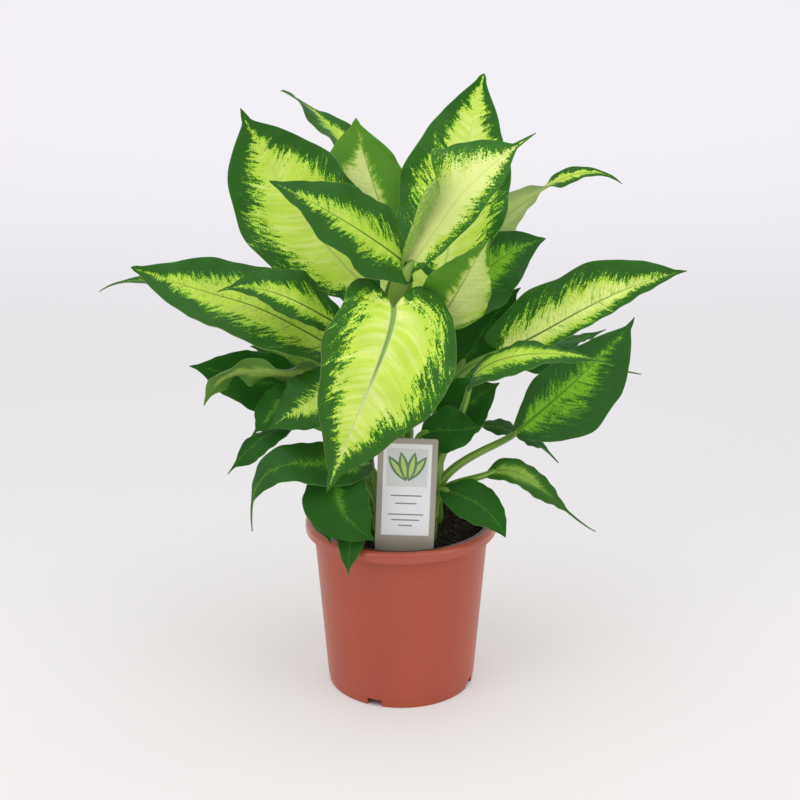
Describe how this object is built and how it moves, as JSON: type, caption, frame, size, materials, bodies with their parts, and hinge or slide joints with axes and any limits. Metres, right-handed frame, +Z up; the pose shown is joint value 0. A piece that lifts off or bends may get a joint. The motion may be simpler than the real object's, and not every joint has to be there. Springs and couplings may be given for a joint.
{
  "type": "potted dieffenbachia",
  "caption": "Bushy dieffenbachia with variegated leaves on upright canes, in a round terracotta-coloured nursery pot of soil, with a stick-in plant label at the front.",
  "frame": {"origin": "centre of the pot's foot, on the surface that it stands on, on the pot's axis", "axes": "+Z up; -Y is the front, where the plant label stands; +X is to the right, seen from the front"},
  "size_m": [0.51, 0.3135, 0.5363],
  "materials": {
    "pot_plastic": "satin",
    "potting_soil": "matte",
    "label_card": "satin",
    "stalk": "satin",
    "leaf": "satin"
  },
  "bodies": {
    "root": {"pot": "pot_plastic", "soil": "potting_soil", "label": "label_card", "shoot_1": "stalk", "shoot_2": "stalk", "shoot_3": "stalk", "shoot_4": "stalk", "shoot_5": "stalk", "shoot_6": "stalk", "shoot_7": "stalk", "leaf_01": "leaf", "leaf_02": "leaf", "leaf_03": "leaf", "leaf_04": "leaf", "leaf_05": "leaf", "leaf_06": "leaf", "leaf_07": "leaf", "leaf_08": "leaf", "leaf_09": "leaf", "leaf_10": "leaf", "leaf_11": "leaf", "leaf_12": "leaf", "leaf_13": "leaf", "leaf_14": "leaf", "leaf_15": "leaf", "leaf_16": "leaf", "leaf_17": "leaf", "leaf_18": "leaf", "leaf_19": "leaf", "leaf_20": "leaf", "leaf_21": "leaf", "leaf_22": "leaf", "leaf_23": "leaf", "leaf_24": "leaf", "leaf_25": "leaf", "leaf_26": "leaf", "leaf_27": "leaf", "leaf_28": "leaf", "leaf_29": "leaf", "leaf_30": "leaf", "leaf_31": "leaf", "leaf_32": "leaf", "leaf_33": "leaf", "leaf_34": "leaf", "leaf_35": "leaf", "leaf_36": "leaf", "leaf_37": "leaf", "leaf_38": "leaf", "leaf_39": "leaf"}
  },
  "joints": []
}
